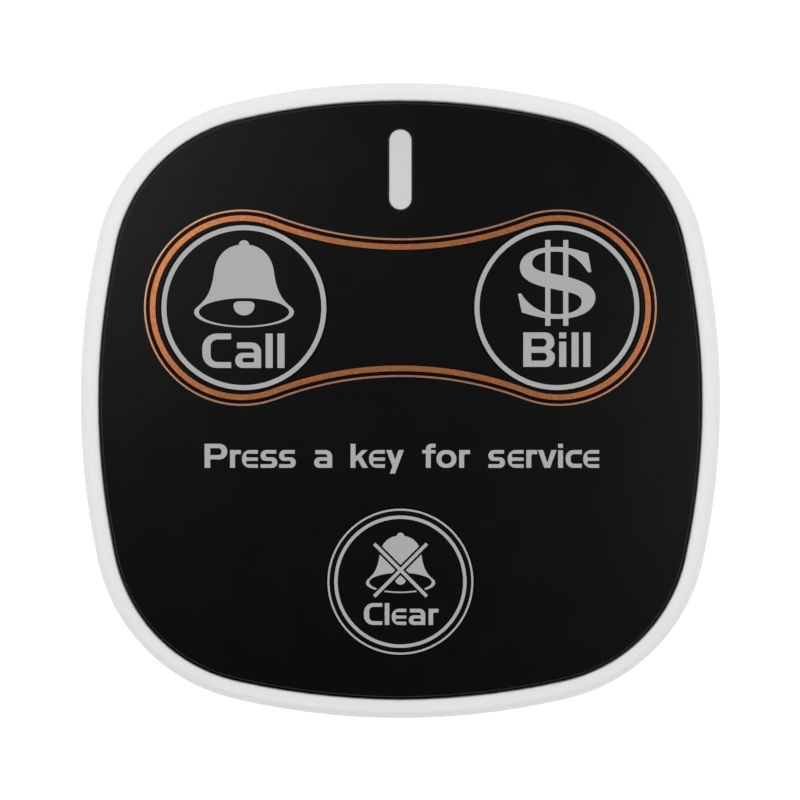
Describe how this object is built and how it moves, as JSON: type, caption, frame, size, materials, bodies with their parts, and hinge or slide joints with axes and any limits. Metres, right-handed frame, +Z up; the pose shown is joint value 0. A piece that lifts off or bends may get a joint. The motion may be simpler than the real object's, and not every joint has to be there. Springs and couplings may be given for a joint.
{
  "type": "waiter call button",
  "caption": "Rounded-square tabletop call button: pale shell, black face with round press keys, copper band and light window, coin cell behind a twist-lock cover.",
  "frame": {"origin": "centre of the body's outline, on the surface that the feet stand on", "axes": "+Z up through the printed face, +Y towards the light window, +X to the right as the labels are read"},
  "size_m": [0.088, 0.0874, 0.017],
  "materials": {
    "housing_white": "satin white ABS, fine moulded texture",
    "face_black": "satin black, fine grain",
    "print_silver": "satin silver-grey ink",
    "foil_copper": "satin copper-coloured foil",
    "window_clear": "frosted translucent acrylic",
    "lamp": "lamp package",
    "board_green": "solder mask",
    "part_black": "moulded epoxy or nylon",
    "part_metal": "plated steel",
    "contact_metal": "plated spring bronze",
    "cell_metal": "polished steel can",
    "plunger_red": "moulded nylon",
    "seal_rubber": "silicone rubber",
    "foot_rubber": "soft rubber",
    "adhesive": "foam tape",
    "ceramic": "ceramic chip",
    "aerial": "spring wire"
  },
  "bodies": {
    "root": {"rear_cover": "housing_white", "upper_housing": "housing_white", "face_panel": "face_black", "panel_adhesive": "adhesive", "housing_gasket": "seal_rubber", "copper_band": "foil_copper", "light_window": "window_clear", "indicator_led": "lamp", "circuit_board": "board_green", "call_switch_body": "part_black", "bill_switch_body": "part_black", "clear_switch_body": "part_black", "call_switch_shell": "part_metal", "bill_switch_shell": "part_metal", "clear_switch_shell": "part_metal", "battery_holder": "part_black", "positive_contact": "contact_metal", "negative_contact": "contact_metal", "coin_cell": "cell_metal", "controller_chip": "part_black", "radio_chip": "part_black", "crystal_can": "part_metal", "antenna_coil": "aerial", "chip_capacitors": "ceramic", "cover_screws": "part_metal", "rubber_feet": "foot_rubber"},
    "battery_door": {"battery_cover": "housing_white", "cover_seal": "seal_rubber"},
    "call_key": {"call_keycap": "face_black", "call_ring": "print_silver", "call_symbol": "print_silver", "call_actuator": "plunger_red"},
    "bill_key": {"bill_keycap": "face_black", "bill_ring": "print_silver", "bill_symbol": "print_silver", "bill_actuator": "plunger_red"},
    "clear_key": {"clear_keycap": "face_black", "clear_rings": "print_silver", "clear_symbol": "print_silver", "clear_actuator": "plunger_red"}
  },
  "joints": [
    {"name": "call_press", "type": "slide", "parent": "root", "child": "call_key", "axis": [0, 0, 1], "range_m": [-0.0006, 0], "stiffness_N_per_m": 1500, "springref_m": 0.0006},
    {"name": "bill_press", "type": "slide", "parent": "root", "child": "bill_key", "axis": [0, 0, 1], "range_m": [-0.0006, 0], "stiffness_N_per_m": 1500, "springref_m": 0.0006},
    {"name": "clear_press", "type": "slide", "parent": "root", "child": "clear_key", "axis": [0, 0, 1], "range_m": [-0.0006, 0], "stiffness_N_per_m": 1500, "springref_m": 0.0006},
    {"name": "battery_cover_turn", "type": "hinge", "parent": "root", "child": "battery_door", "pos_m": [0, 0, 0.0018], "axis": [0, 0, 1], "range_deg": [-35, 0]}
  ]
}
